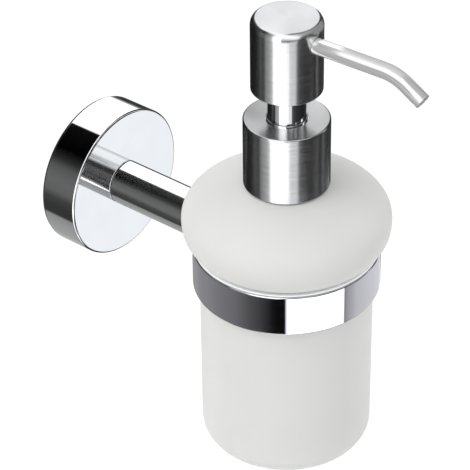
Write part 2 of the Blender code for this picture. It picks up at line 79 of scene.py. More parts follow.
# --- Shapes ----------------------------------------------------------------------------------

def new_object(name, bm, matrix):
    bmesh.ops.recalc_face_normals(bm, faces=bm.faces)
    mesh = bpy.data.meshes.new(name)
    bm.to_mesh(mesh)
    bm.free()
    obj = bpy.data.objects.new(name, mesh)
    bpy.context.scene.collection.objects.link(obj)
    obj.matrix_world = matrix
    return obj


def skin(bm, loops, closed=False):
    """Joins each loop of vertices to the next one, and the last to the first if closed."""
    following = loops[1:] + loops[:1] if closed else loops[1:]
    for here, there in zip(loops, following):
        for k in range(len(here)):
            after = (k + 1) % len(here)
            bm.faces.new((here[k], here[after], there[after], there[k]))


def smooth(obj):
    mesh = obj.data
    mesh.polygons.foreach_set("use_smooth", [True] * len(mesh.polygons))
    mesh.set_sharp_from_angle(angle=SHARP_ANGLE)
    return obj


def flat_walls(obj):
    """Keeps the shading of long straight walls free of the fillets beside them."""
    step = obj.modifiers.new("normals", "WEIGHTED_NORMAL")
    step.keep_sharp = True
    step.weight = 50
    return obj


def rounded(points):
    """Turns (radius, height, fillet) corners into a smooth profile; a point without one is kept."""
    made = []
    for i, point in enumerate(points):
        if len(point) == 2:
            made.append(point)
            continue
        here, fillet = Vector(point[:2]), point[2]
        before = Vector(points[i - 1][:2]) - here
        after = Vector(points[(i + 1) % len(points)][:2]) - here
        half = before.angle(after) / 2
        reach = fillet / math.tan(half)
        start, end = here + before.normalized() * reach, here + after.normalized() * reach
        middle = (start + end) / 2 - here
        centre = here + middle.normalized() * (fillet / math.sin(half))
        first, last = start - centre, end - centre
        for k in range(FILLET_STEPS + 1):
            made.append(tuple(centre + fillet * first.slerp(last, k / FILLET_STEPS)))
    return made


def lathe(name, profile, matrix, steps=TURNED_STEPS, closed=True):
    """Spins a profile in mm about local Z. An open profile starts and ends on the axis."""
    bm = bmesh.new()
    points = rounded(profile)
    turns = [2 * math.pi * i / steps for i in range(steps)]
    loops = [[bm.verts.new(Vector((radius * math.cos(t), radius * math.sin(t), height)) * MM)
              for t in turns]
             for radius, height in (points if closed else points[1:-1])]
    skin(bm, loops, closed)
    if not closed:
        for loop, (_, height) in ((loops[0], points[0]), (loops[-1], points[-1])):
            pole = bm.verts.new((0, 0, height * MM))
            for k in range(steps):
                bm.faces.new((loop[k], loop[(k + 1) % steps], pole))
    return smooth(new_object(name, bm, matrix))


def rod(name, radius, low, high, matrix, steps=HOLE_STEPS):
    """A cylinder along local Z, for a Boolean."""
    return lathe(name, [(0, low), (radius, low), (radius, high), (0, high)], matrix, steps,
                 closed=False)


def block(name, low, high, matrix):
    """A box between two corners in mm, for a Boolean."""
    bm = bmesh.new()
    bmesh.ops.create_cube(bm, size=1.0)
    low, high = Vector(low) * MM, Vector(high) * MM
    bmesh.ops.scale(bm, vec=high - low, verts=bm.verts)
    bmesh.ops.translate(bm, vec=(low + high) / 2, verts=bm.verts)
    return new_object(name, bm, matrix)


def combine(obj, tool, operation="DIFFERENCE"):
    """Applies a Boolean, merges the points that it leaves in one place and removes the tool."""
    step = obj.modifiers.new("join", "BOOLEAN")
    step.operation, step.solver, step.object = operation, "EXACT", tool
    graph = bpy.context.evaluated_depsgraph_get()
    mesh = bpy.data.meshes.new_from_object(obj.evaluated_get(graph))
    bm = bmesh.new()
    bm.from_mesh(mesh)
    bmesh.ops.remove_doubles(bm, verts=bm.verts, dist=MERGE_DISTANCE)
    bm.to_mesh(mesh)
    bm.free()
    obj.modifiers.clear()
    obj.data = mesh
    bpy.data.objects.remove(tool)
    return smooth(obj)


def arc(centre, radius, start, end, count):
    """(radius, height) points of a profile round a centre, from angle to angle in degrees."""
    turns = [math.radians(start + (end - start) * i / count) for i in range(count + 1)]
    return [(centre[0] + radius * math.cos(t), centre[1] + radius * math.sin(t)) for t in turns]


# --- Finishes --------------------------------------------------------------------------------

class Finish:
    """A material under construction: a Principled shader and short helpers for its nodes."""

    def __init__(self, name, metallic=0.0, roughness=0.5, **settings):
        self.material = bpy.data.materials.new(name)
        self.material.use_nodes = True
        self.tree = self.material.node_tree
        self.shader = self.tree.nodes["Principled BSDF"]
        self.set(metallic=metallic, roughness=roughness, **settings)

    def set(self, **settings):
        for name, value in settings.items():
            self.shader.inputs[name.replace("_", " ").title().replace("Ior", "IOR")
                               ].default_value = value

    def node(self, kind, **settings):
        made = self.tree.nodes.new(kind)
        for name, value in settings.items():
            setattr(made, name, value)
        return made

    def link(self, output, target):
        self.tree.links.new(output, target)

    def place(self, scale, shift=0.0):
        """Object coordinates stretched by a scale, then moved along X."""
        source = self.node("ShaderNodeTexCoord")
        mapping = self.node("ShaderNodeMapping")
        mapping.inputs["Scale"].default_value = scale
        mapping.inputs["Location"].default_value = (shift, 0.0, 0.0)
        self.link(source.outputs["Object"], mapping.inputs["Vector"])
        return mapping.outputs["Vector"]

    def noise(self, scale=1.0, detail=3.0, stretch=(1, 1, 1)):
        made = self.node("ShaderNodeTexNoise")
        made.inputs["Scale"].default_value = scale
        made.inputs["Detail"].default_value = detail
        self.link(self.place(stretch), made.inputs["Vector"])
        return made.outputs["Fac"]

    def ramp(self, factor, stops):
        made = self.node("ShaderNodeValToRGB")
        fill_ramp(made.color_ramp, stops)
        self.link(factor, made.inputs["Fac"])
        return made.outputs["Color"]

    def spread(self, noise, low, high):
        """Stretches the middle part of a noise over the range from low to high."""
        made = self.node("ShaderNodeMapRange")
        for name, value in (("From Min", 0.35), ("From Max", 0.65), ("To Min", low),
                            ("To Max", high)):
            made.inputs[name].default_value = value
        self.link(noise, made.inputs["Value"])
        return made.outputs["Result"]

    def colour(self, socket):
        self.link(socket, self.shader.inputs["Base Color"])

    def roughness(self, socket):
        self.link(socket, self.shader.inputs["Roughness"])

    def bump(self, height, depth, strength=1.0):
        made = self.node("ShaderNodeBump")
        made.inputs["Strength"].default_value = strength
        made.inputs["Distance"].default_value = depth
        self.link(height, made.inputs["Height"])
        self.link(made.outputs["Normal"], self.shader.inputs["Normal"])


def fill_ramp(ramp, stops):
    """Stops are (position, colour), with a colour as one number or three."""
    while len(ramp.elements) > 1:
        ramp.elements.remove(ramp.elements[-1])
    for i, (position, colour) in enumerate(stops):
        element = ramp.elements[0] if i == 0 else ramp.elements.new(position)
        element.position = position
        rgb = (colour,) * 3 if isinstance(colour, (int, float)) else colour
        element.color = (*rgb, 1.0)


def chrome():
    """Polished chrome with a barely seen film and haze."""
    made = Finish("chrome", metallic=1.0)
    film = made.noise(90.0)
    made.colour(made.ramp(film, [(0.3, (0.90, 0.91, 0.925)), (0.7, (0.93, 0.94, 0.95))]))
    made.roughness(made.spread(made.noise(260.0, detail=2.0), 0.03, 0.06))
    return made.material


def drawn_chrome():
    """Chrome over a drawn tube, with faint lines along local Z."""
    made = Finish("drawn_chrome", metallic=0.984)
    lines = made.noise(detail=4.0, stretch=(700, 700, 9))
    made.colour(made.ramp(lines, [(0.35, (0.84, 0.865, 0.875)), (0.62, (0.93, 0.94, 0.945))]))
    made.roughness(made.spread(lines, 0.09, 0.13))
    made.bump(lines, depth=0.006 * MM, strength=0.35)
    return made.material


def brushed(name, tint, rough):
    """Satin steel with fine lines that run round local Z."""
    made = Finish(name, metallic=1.0, anisotropic=0.75, anisotropic_rotation=0.25)
    tangent = made.node("ShaderNodeTangent", direction_type="RADIAL", axis="Z")
    made.link(tangent.outputs["Tangent"], made.shader.inputs["Tangent"])
    lines = made.noise(detail=4.0, stretch=(60, 60, 2600))
    dark, light = tuple(0.9 * c for c in tint), tuple(1.05 * c for c in tint)
    made.colour(made.ramp(lines, [(0.32, dark), (0.68, light)]))
    made.roughness(made.spread(lines, rough - 0.03, rough + 0.03))
    made.bump(lines, depth=0.002 * MM, strength=0.18)
    return made.material


def plain_metal(name, tint, rough, metallic=1.0):
    """Bare or plated metal with fine cloudy marks."""
    made = Finish(name, metallic=metallic)
    marks = made.noise(400.0)
    dark = tuple(0.88 * c for c in tint)
    made.colour(made.ramp(marks, [(0.3, dark), (0.7, tint)]))
    made.roughness(made.spread(marks, rough - 0.04, rough + 0.06))
    return made.material


def drawn_steel(name, tint, rough):
    """Satin tube with streaks along its length, in planes of constant local X."""
    made = Finish(name, metallic=0.6)
    streaks = made.noise(stretch=(1500, 18, 18))
    made.colour(made.ramp(streaks, [(0.35, 0.85 * tint), (0.6, 1.08 * tint)]))
    made.roughness(made.spread(streaks, rough - 0.06, rough + 0.06))
    made.bump(streaks, depth=0.02 * MM, strength=0.3)
    return made.material


def plastic(name, tint, rough, transmission=0.0):
    made = Finish(name, transmission_weight=transmission, ior=1.49)
    marks = made.noise(300.0)
    dark = tuple(0.94 * c for c in tint)
    made.colour(made.ramp(marks, [(0.3, dark), (0.7, tint)]))
    made.roughness(made.spread(marks, rough - 0.05, rough + 0.05))
    return made.material


def frosted_glass():
    """Etched glass with a faint cloud in it, and a painted glow that makes its colour paler where
    it turns away.
    """
    made = Finish("frosted_glass", transmission_weight=0.25, ior=1.45)
    cloud = made.ramp(made.noise(35.0, detail=2.0),
                      [(0.3, (0.80, 0.80, 0.79)), (0.7, (0.83, 0.83, 0.82))])
    edge = made.node("ShaderNodeLayerWeight")
    # Painted glow: the base colour gets paler towards the outline and stands in for light coming
    # through the glass's edge.
    painted_rim_glow = made.ramp(edge.outputs["Facing"], [(0.45, 1.0), (0.8, 1.1), (0.92, 1.14), (1.0, 0.95)])
    # The random cloud tone times the painted rim glow.
    cloud_and_glow = made.node("ShaderNodeVectorMath", operation="MULTIPLY")
    made.link(cloud, cloud_and_glow.inputs[0])
    made.link(painted_rim_glow, cloud_and_glow.inputs[1])
    made.colour(cloud_and_glow.outputs["Vector"])
    etch = made.noise(2600.0, detail=2.0)
    made.roughness(made.spread(etch, 0.58, 0.7))
    made.bump(etch, depth=0.01 * MM, strength=0.3)
    return made.material


def rubber():
    made = Finish("black_rubber")
    marks = made.noise(900.0)
    made.colour(made.ramp(marks, [(0.3, 0.018), (0.7, 0.03)]))
    made.roughness(made.spread(marks, 0.6, 0.75))
    return made.material


FINISHES = {
    "chrome": chrome(),
    "brushed_steel": brushed("brushed_steel", (0.80, 0.805, 0.815), 0.24),
    "spout_steel": drawn_steel("spout_steel", 0.88, 0.2),
    "zinc_steel": plain_metal("zinc_steel", (0.62, 0.64, 0.67), 0.42, metallic=0.8),
    "spring_steel": plain_metal("spring_steel", (0.55, 0.55, 0.56), 0.25),
    "ball_steel": plain_metal("ball_steel", (0.70, 0.70, 0.71), 0.12),
    "brass": plain_metal("brass", (0.78, 0.60, 0.30), 0.3),
    "frosted_glass": frosted_glass(),
    "clear_plastic": plastic("clear_plastic", (0.97, 0.985, 1.0), 0.45),
    "white_plastic": plastic("white_plastic", (0.80, 0.80, 0.785), 0.35),
    "natural_plastic": plastic("natural_plastic", (0.80, 0.80, 0.76), 0.35, transmission=0.35),
    "black_rubber": rubber(),
}


def finish(obj, slot):
    obj.data.materials.clear()
    obj.data.materials.append(FINISHES[slot])
    return obj


def stand_in(obj, node, slot, body):
    """obj is shown in place of one CAD node and moves with its body."""
    finish(flat_walls(obj), slot)
    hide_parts(node)
    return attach(obj, body)


# --- Holder ----------------------------------------------------------------------------------

# From here on, _R marks a radius in mm, and the other sizes are places along local Z in mm.
FLANGE_R, FLANGE_INNER_R, FLANGE_HOLE_R = 27.5, 25.3, 5.2
FLANGE_FACE, FLANGE_INNER_FACE = 15.3, 12.8
GRUB_HOLE_R, GRUB_HOLE_PLACE = 2.2, 6
ARM_R, ARM_BORE_R, ARM_START, ARM_END = 8, 7, 15.5, 62
COPE_R = 32.4
RING_R, RING_BORE_R, RING_LOW, RING_HIGH = 32.2, 31, -9.5, 5.7
LINER_R, LINER_BORE_R, LIP_R = 30.75, 30.05, 32
LINER_LOW, LIP_LOW, LIP_HIGH = -8.8, 5.95, 6.6


def make_flange():
    """A deep cup, open at the back, with a boss inside and a hole for the grub screw."""
    flange = lathe("flange", [
        (FLANGE_R, 0, 1.4), (FLANGE_R, FLANGE_FACE, 0.75), (FLANGE_HOLE_R, FLANGE_FACE, 0.15),
        (FLANGE_HOLE_R, FLANGE_INNER_FACE), (FLANGE_INNER_R, FLANGE_INNER_FACE, 0.8),
        (FLANGE_INNER_R, 0, 0.2),
    ], FROM_WALL)
    combine(flange, block("boss", (-4, -26, 2.3), (4, -21.6, 9.7), FROM_WALL), "UNION")
    downward = FROM_WALL @ Matrix.Translation((0, 0, GRUB_HOLE_PLACE * MM)) @ Matrix.Rotation(
        math.pi / 2, 4, "X")
    combine(flange, rod("hole", GRUB_HOLE_R, 18.4, 30.5, downward))
    stand_in(flange, "wall_flange", "chrome", "holder")
    flange.visible_glossy = False


def make_arm():
    """A tube from the flange's face, cut at its far end to fit the ring."""
    tube = lathe("arm", [
        (ARM_BORE_R, ARM_START), (ARM_R, ARM_START, 0.3), (ARM_R, ARM_END), (ARM_BORE_R, ARM_END),
    ], FROM_WALL)
    combine(tube, rod("cope", COPE_R, -20, 20, ON_AXIS, TURNED_STEPS))
    stand_in(tube, "arm_tube", "chrome", "holder")
    tube.data.materials[0] = drawn_chrome()


def make_ring():
    """The band and its soft liner, whose lip shows above it."""
    ring = lathe("ring", [
        (RING_BORE_R, RING_LOW, 0.25), (RING_R, RING_LOW, 0.3), (RING_R, RING_HIGH, 0.35),
        (RING_BORE_R, RING_HIGH, 0.25),
    ], ON_AXIS)
    stand_in(ring, "holder_ring", "chrome", "holder")
    liner = lathe("liner", [
        (LINER_BORE_R, LINER_LOW), (LINER_R, LINER_LOW, 0.2), (LINER_R, LIP_LOW),
        (LIP_R, LIP_LOW, 0.2), (LIP_R, LIP_HIGH, 0.3), (LINER_BORE_R, LIP_HIGH, 0.25),
    ], ON_AXIS)
    stand_in(liner, "ring_liner", "clear_plastic", "holder")


# --- Bottle ----------------------------------------------------------------------------------

WIDE_Z, WIDE_R, WIDE_INNER_R = 16.2, 35.7, 32.6
WAIST_Z, WAIST_R, WAIST_INNER_Z, WAIST_INNER_R = 6.9, 29.8, 9.5, 26.8
NECK_R, MOUTH_R, NECK_TOP = 10.75, 8.3, 47.4
FOOT_Z, RECESS_Z, FLOOR_Z = -74.5, -73.2, -69
HEEL_R, HEEL_CENTRE, HEEL_INNER_R, HEEL_INNER_CENTRE = 7, (22.8, -67.5), 4.5, (22.3, -64.5)
DOME_RISE, DOME_INNER_RISE = 16, 12.8


def dome(wide_r, rise, end_r, count):
    """The flattened shoulder above its widest line, from that line in to end_r."""
    points = []
    for i in range(count + 1):
        radius = end_r + (wide_r - end_r) * math.cos(math.pi / 2 * i / count) ** 0.8
        share = min(radius / wide_r, 1.0)
        points.append((radius, WIDE_Z + rise * (1 - share**1.7) ** 0.43))
    return points


def underside(wide_r, waist_r, waist_z, count):
    """The shoulder below its widest line, from the waist out; the widest point is left out."""
    points = []
    for i in range(count):
        drop = math.cos(math.pi / 2 * i / count) ** 0.8
        radius = waist_r + (wide_r - waist_r) * (1 - drop**2.2) ** 0.62
        points.append((radius, WIDE_Z - (WIDE_Z - waist_z) * drop))
    return points


def make_bottle():
    """A thin-walled bottle: up the outside, over the mouth and down the inside."""
    outside = [(0, RECESS_Z), (16.5, RECESS_Z, 0.6), (18, FOOT_Z, 0.6)]
    outside += arc(HEEL_CENTRE, HEEL_R, -90, 0, 14)
    outside += underside(WIDE_R, WAIST_R, WAIST_Z, 24)
    outside += dome(WIDE_R, DOME_RISE, NECK_R, 48)
    outside += [(NECK_R, NECK_TOP, 0.5), (MOUTH_R, NECK_TOP, 0.4)]
    inside = [(0, FLOOR_Z)] + arc(HEEL_INNER_CENTRE, HEEL_INNER_R, -90, 0, 8)
    inside += underside(WIDE_INNER_R, WAIST_INNER_R, WAIST_INNER_Z, 12)
    inside += dome(WIDE_INNER_R, DOME_INNER_RISE, MOUTH_R, 24)
    bottle = lathe("bottle", outside + inside[::-1], ON_AXIS, closed=False)
    combine(bottle, make_thread(), "UNION")
    stand_in(bottle, "glass_bottle", "frosted_glass", "bottle")
    bottle.visible_glossy = False


def make_thread():
    """The helical ridge on the neck, tapering away at both ends."""
    bm = bmesh.new()
    turns, pitch, low, root, top = 1.5, 3.175, 36.5, 10.15, 11.9
    root_half, crest_half = 0.9, 0.4
    count = int(turns * THREAD_STEPS)
    rings = []
    for i in range(count + 1):
        share = i / count
        angle, centre = 2 * math.pi * turns * share, low + pitch * turns * share
        crest = root + (top - root) * (0.15 + 0.85 * min(1.0, 8 * share, 8 * (1 - share)))
        section = ((root, -root_half), (crest, -crest_half), (crest, crest_half),
                   (root, root_half))
        rings.append([
            bm.verts.new(Vector((r * math.cos(angle), r * math.sin(angle), centre + up)) * MM)
            for r, up in section
        ])
    skin(bm, rings)
    bm.faces.new(rings[0])
    bm.faces.new(rings[-1])
    return new_object("thread", bm, ON_AXIS)


# --- Pump ------------------------------------------------------------------------------------

COLLAR_R, COLLAR_INNER_R, COLLAR_HOLE_R = 14.67, 14.05, 7.2
COLLAR_LOW, COLLAR_HIGH, COLLAR_CEILING = 31.2, 56.1, 55.4
BUSH_R, BUSH_RIM_R, BUSH_BORE_R, BUSH_FOOT_BORE_R = 10.2, 6.9, 6.65, 8.05
BUSH_LOW, BUSH_CEILING, BUSH_SHOULDER, BUSH_HIGH = 52.65, 54.65, 55.1, 56.7
STEM_R, STEM_BORE_R, STEM_LOW, STEM_HIGH = 6.45, 5.95, 54.6, 73.8
HEAD_R, HEAD_INNER_R, HEAD_LOW, HEAD_HIGH, HEAD_CEILING = 12.03, 11.43, 67.8, 94, 93.2
SPOUT_R, SPOUT_BORE_R, SPOUT_HOLE_R, SPOUT_BEND_R = 2.7, 2.0, 2.85, 16
# Distances along the spout's straight part, and along its tail after the bend.
SPOUT_START, SPOUT_BEND, SPOUT_TAIL = 6.4, 38.7, (2.5, 5.0, 7.6)


def make_collar():
    collar = lathe("collar", [
        (COLLAR_INNER_R, COLLAR_LOW), (COLLAR_R, COLLAR_LOW, 0.2), (COLLAR_R, COLLAR_HIGH, 0.6),
        (COLLAR_HOLE_R, COLLAR_HIGH, 0.1), (COLLAR_HOLE_R, COLLAR_CEILING),
        (COLLAR_INNER_R, COLLAR_CEILING, 0.2),
    ], ON_AXIS)
    stand_in(collar, "collar_shell", "brushed_steel", "closure")
    collar.visible_glossy = False


def make_stem():
    """The sleeve that moves with the head, and the bush round its foot."""
    bush = lathe("bush", [
        (BUSH_FOOT_BORE_R, BUSH_LOW), (BUSH_R, BUSH_LOW, 0.2), (BUSH_R, BUSH_SHOULDER, 0.2),
        (BUSH_RIM_R, BUSH_SHOULDER), (BUSH_RIM_R, BUSH_HIGH, 0.2), (BUSH_BORE_R, BUSH_HIGH),
        (BUSH_BORE_R, BUSH_CEILING), (BUSH_FOOT_BORE_R, BUSH_CEILING),
    ], ON_AXIS)
    stand_in(bush, "stem_bush", "chrome", "pump")
    sleeve = lathe("stem", [
        (STEM_BORE_R, STEM_LOW), (STEM_R, STEM_LOW), (STEM_R, STEM_HIGH), (STEM_BORE_R, STEM_HIGH),
    ], ON_AXIS)
    stand_in(sleeve, "stem_sleeve", "chrome", "head")


def make_head():
    """A shell, open below, with an elliptical rounding round its top and a hole for the spout."""
    corner_r, corner_z, across, upward = 10.28, 91.2, 1.75, 2.8
    shoulder = [(corner_r + across * math.cos(t), corner_z + upward * math.sin(t))
                for t in (math.pi / 32 * i for i in range(17))]
    shell = lathe("head", [
        (0, HEAD_CEILING), (9.6, HEAD_CEILING, 0.6), (HEAD_INNER_R, 90.9, 0.6),
        (HEAD_INNER_R, HEAD_LOW), (HEAD_R, HEAD_LOW, 0.2), *shoulder, (0, HEAD_HIGH),
    ], ON_AXIS, closed=False)
    combine(shell, rod("hole", SPOUT_HOLE_R, 7, 16, ALONG_SPOUT))
    stand_in(shell, "head_shell", "brushed_steel", "head")


def spout_path():
    """(outward, up, slope) along the spout in mm: straight, a bend, then a straight tail."""
    points = [(d * math.cos(SPOUT_RISE), d * math.sin(SPOUT_RISE), SPOUT_RISE)
              for d in np.linspace(SPOUT_START, SPOUT_BEND, 12)]
    out, up, _ = points[-1]
    count = 30
    for i in range(1, count + 1):
        slope = SPOUT_RISE - (SPOUT_RISE + SPOUT_DROOP) * i / count
        points.append((out + SPOUT_BEND_R * (math.sin(SPOUT_RISE) - math.sin(slope)),
                       up - SPOUT_BEND_R * (math.cos(SPOUT_RISE) - math.cos(slope)), slope))
    out, up, slope = points[-1]
    points += [(out + d * math.cos(slope), up + d * math.sin(slope), slope)
               for d in SPOUT_TAIL]
    return points


def make_spout():
    """The open tube: its wall goes out along the outside and back along the bore."""
    bm = bmesh.new()
    path, steps = spout_path(), 64
    loops = []
    for radius, line in ((SPOUT_R, path), (SPOUT_BORE_R, path[::-1])):
        for out, up, slope in line:
            centre = Vector((0, -out, SPOUT_Z / MM + up))
            over = Vector((0, math.sin(slope), math.cos(slope)))
            loops.append([
                bm.verts.new((centre + radius * (math.cos(t) * Vector((1, 0, 0))
                                                 + math.sin(t) * over)) * MM)
                for t in (2 * math.pi * k / steps for k in range(steps))
            ])
    skin(bm, loops, closed=True)
    spout = smooth(new_object("spout", bm, ON_AXIS))
    stand_in(spout, "spout_tube", "spout_steel", "head")


def make_spring():
    """A coil with closed end turns, on a mesh of its own."""
    low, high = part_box("return_spring")
    wire, turns, per_turn, steps = 0.4 * MM, 9, 48, 14
    radius = (high.x - low.x) / 2 - wire
    bottom, top = low.z + wire, high.z - wire
    closed_pitch = 2.2 * wire
    bm = bmesh.new()
    loops = []
    for i in range(turns * per_turn + 1):
        turned = i / per_turn
        height = float(np.interp(turned, (0, 1, turns - 1, turns),
                                 (bottom, bottom + closed_pitch, top - closed_pitch, top)))
        outward = Vector((math.cos(2 * math.pi * turned), math.sin(2 * math.pi * turned), 0))
        loops.append([
            bm.verts.new((radius + wire * math.cos(t)) * outward
                         + Vector((0, 0, height + wire * math.sin(t))))
            for t in (2 * math.pi * k / steps for k in range(steps))
        ])
    skin(bm, loops)
    bm.faces.new(loops[0])
    bm.faces.new(loops[-1][::-1])
    spring = smooth(new_object("spring", bm, ON_AXIS))
    stand_in(spring, "return_spring", "spring_steel", "pump")
    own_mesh(spring)


# --- Pieces shown as the CAD has them --------------------------------------------------------

KEPT_NODES = {
    "zinc_steel": ["wall_bracket", "wall_screw_left", "wall_screw_right", "grub_screw",
                   "arm_bolt", "arm_washer"],
    "brass": ["arm_insert", "arm_end_plug"],
    "natural_plastic": ["pump_housing", "dip_tube", "piston_rod"],
    "white_plastic": ["rod_guide", "ball_retainer", "closure_cap", "piston_seal", "head_core"],
    "ball_steel": ["inlet_ball", "outlet_ball"],
    "black_rubber": ["neck_gasket", "spout_seal"],
}


def finish_kept_nodes():
    for slot, names in KEPT_NODES.items():
        for name in names:
            finish(smooth(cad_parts[name]), slot)
    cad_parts["wall_bracket"].visible_glossy = False


# --- Studio ----------------------------------------------------------------------------------

def grey(value):
    """A display grey from 0 to 255, or more for a bright light, as scene-linear light."""
    share = value / 255
    return ((share + 0.055) / 1.055) ** 2.4 if share > 0.04045 else share / 12.92


def around(stops, tint=(1, 1, 1)):
    """(degrees from -180 to 180, grey) stops as ramp stops."""
    return [((angle + 180) / 360, tuple(grey(value) * part for part in tint))
            for angle, value in stops]


CAMERA_TURN = math.radians(-50.548)
TOWARD_CAMERA = math.atan2(-math.cos(CAMERA_TURN), math.sin(CAMERA_TURN))

# What the metals mirror, as (degrees, display grey). FRONT and UPPER turn round the world's Z,
# with 0 at the camera and negative angles on its left. SIDE and RETURN turn round the wall's
# normal, with 0 at +X and 90 straight up. RING and SPOUT turn round their panel's local Z.
FRONT_BANDS = [(-180, 40), (-150, 30), (-112, 30), (-96, 62), (-84, 105), (-70, 142), (-56, 168),
               (-47, 190), (-42, 330), (4, 330), (7, 238), (26, 226), (30, 88), (42, 62),
               (60, 46), (100, 32), (125, 36), (150, 70), (180, 40)]
SIDE_BANDS = [(-180, 103), (-165, 98), (-153, 66), (-140, 54), (-124, 54), (-120, 140),
              (-104, 154), (-80, 163), (-56, 188), (-40, 196), (-32, 120), (-24, 55), (-9, 55),
              (-1, 150), (3, 300), (88.1, 300), (89.6, 14), (130, 2), (138, 24), (147, 46),
              (158, 86), (170, 98), (180, 103)]
RETURN_BANDS = [(-180, 36), (-147, 45), (-132, 95), (-120, 155), (-60, 175), (-47, 210),
                (-10, 205), (25, 262), (62, 262), (78, 205), (86, 250), (97, 215), (112, 36),
                (180, 36)]
UPPER_BANDS = [(-180, 40), (-150, 40), (-100, 45), (-70, 110), (-50, 150), (-44, 290), (0, 290),
               (4, 90), (40, 80), (90, 60), (180, 40)]
# Overhead, from -1 at the camera's left to 1 at its right.
ZENITH_BANDS = [(-1, 40), (-0.8, 45), (-0.62, 120), (-0.48, 240), (-0.3, 290), (-0.02, 290),
                (0.03, 88), (0.5, 84), (1, 50)]
RING_BANDS = [(-180, 165), (-126, 157), (-102, 137), (-86, 132), (-67, 117), (-50, 107),
              (-36, 82), (-23, 57), (-14, 24), (-9, 12), (-1.8, 12), (-1.2, 290), (53.5, 290),
              (54.5, 128), (58.5, 158), (66, 177), (70, 189), (91, 202), (129, 214), (180, 214)]
RING_TINT = (1, 0.99, 1.055)
SPOUT_BANDS = [(-180, 10), (-172, 20), (-163, 60), (-12, 150), (50, 150), (69, 165), (96, 178),
               (112, 210), (124, 285), (140, 300), (156, 265), (166, 215), (173, 40), (180, 10)]
# Across the two flat tops, millimetres stand for degrees.
COLLAR_TOP = [(-180, 120), (-14, 175), (-11, 205), (-3, 215), (0, 195), (4, 195), (8, 236),
              (13, 250), (180, 240)]
HEAD_TOP = [(-180, 240), (-12, 258), (-9, 264), (0, 267), (10, 264), (180, 255)]


class Sky(Finish):
    """World nodes: what glossy rays see is a set of soft bands, all else sees an even light."""

    def __init__(self, world):
        self.tree = world.node_tree
        self.tree.nodes.clear()
        source = self.node("ShaderNodeTexCoord")
        self.split = self.node("ShaderNodeSeparateXYZ")
        self.link(source.outputs["Generated"], self.split.inputs["Vector"])

    def math(self, operation, *values):
        made = self.node("ShaderNodeMath", operation=operation)
        for socket, value in zip(made.inputs, values):
            if isinstance(value, (int, float)):
                socket.default_value = value
            else:
                self.link(value, socket)
        return made.outputs[0]

    def step(self, value, start, end):
        made = self.node("ShaderNodeMapRange", interpolation_type="SMOOTHSTEP")
        made.inputs["From Min"].default_value = start
        made.inputs["From Max"].default_value = end
        self.link(value, made.inputs["Value"])
        return made.outputs["Result"]

    def bands(self, across, along, stops, turn=0.0):
        """Bands by the angle from across to along, less a turn, from -180 to 180 degrees."""
        angle = self.math("ARCTAN2", along, across)
        angle = self.math("WRAP", self.math("SUBTRACT", angle, turn), math.pi, -math.pi)
        share = self.math("MULTIPLY_ADD", angle, 1 / (2 * math.pi), 0.5)
        return self.ramp(share, around(stops))

    def mix(self, factor, first, second):
        made = self.node("ShaderNodeMix", data_type="RGBA")
        for name, value in (("Factor", factor), ("A", first), ("B", second)):
            socket = [s for s in made.inputs if s.name == name and s.enabled][0]
            if isinstance(value, tuple):
                socket.default_value = value
            else:
                self.link(value, socket)
        return [s for s in made.outputs if s.enabled][0]


def make_sky():
    """Mirror rays see the bands, camera rays white, and the other rays an even light."""
    world = bpy.data.worlds.new("studio")
    bpy.context.scene.world = world
    world.use_nodes = True
    sky = Sky(world)
    x, y, z = (sky.split.outputs[name] for name in "XYZ")
    front = sky.bands(x, y, FRONT_BANDS, TOWARD_CAMERA)
    side = sky.bands(x, z, SIDE_BANDS)
    sideways = sky.math("ADD", sky.math("MULTIPLY", x, math.cos(CAMERA_TURN)),
                        sky.math("MULTIPLY", y, math.sin(CAMERA_TURN)))
    zenith = sky.ramp(sky.math("MULTIPLY_ADD", sideways, 0.5, 0.5),
                      [((place + 1) / 2, grey(value)) for place, value in ZENITH_BANDS])
    upper = sky.mix(sky.step(z, 0.52, 0.85), sky.bands(x, y, UPPER_BANDS, TOWARD_CAMERA), zenith)
    high = sky.step(z, 0.15, 0.3)
    # The arm and the flange's side mirror these directions, and so does the arm's mirror image.
    behind = sky.math("MULTIPLY", sky.step(y, 0.46, 0.50), sky.step(y, 0.67, 0.63))
    ahead = sky.math("MULTIPLY", sky.step(y, -0.49, -0.52), sky.step(y, -0.65, -0.62))
    # The flange's flat face mirrors the heights that this leaves out.
    clear = sky.math("MAXIMUM", sky.step(z, -0.48, -0.43), sky.step(z, -0.61, -0.65))
    twice = sky.bands(x, z, RETURN_BANDS)
    glossy = sky.mix(behind, sky.mix(high, front, upper), side)
    glossy = sky.mix(sky.math("MULTIPLY", ahead, clear), glossy, twice)
    even = (0.985, 0.985, 0.98, 1.0)
    path = sky.node("ShaderNodeLightPath")
    seen = sky.mix(path.outputs["Is Glossy Ray"], even, glossy)
    seen = sky.mix(path.outputs["Is Camera Ray"], seen, (1.0, 1.0, 1.0, 1.0))
    background = sky.node("ShaderNodeBackground")
    sky.link(seen, background.inputs["Color"])
    output = sky.node("ShaderNodeOutputWorld")
    sky.link(background.outputs["Background"], output.inputs["Surface"])
    world.cycles.sampling_method = "NONE"


def glow(name, stops=None, light=None, along=False, tint=(1, 1, 1)):
    """An emission material: bands round local Z or along local X, or one light."""
    made = Finish(name)
    made.tree.nodes.remove(made.shader)
    emission = made.node("ShaderNodeEmission")
    if stops:
        kind, scale = ("LINEAR", 1 / (360 * MM)) if along else ("RADIAL", 1)
        gradient = made.node("ShaderNodeTexGradient", gradient_type=kind)
        made.link(made.place((scale,) * 3, 0.5 * along), gradient.inputs["Vector"])
        colours = made.ramp(gradient.outputs["Fac"], around(stops, tint))
        made.link(colours, emission.inputs["Color"])
    else:
        emission.inputs["Color"].default_value = (*light, 1.0)
    made.link(emission.outputs["Emission"], made.tree.nodes["Material Output"].inputs["Surface"])
    made.material.cycles.emission_sampling = "NONE"
    return made.material


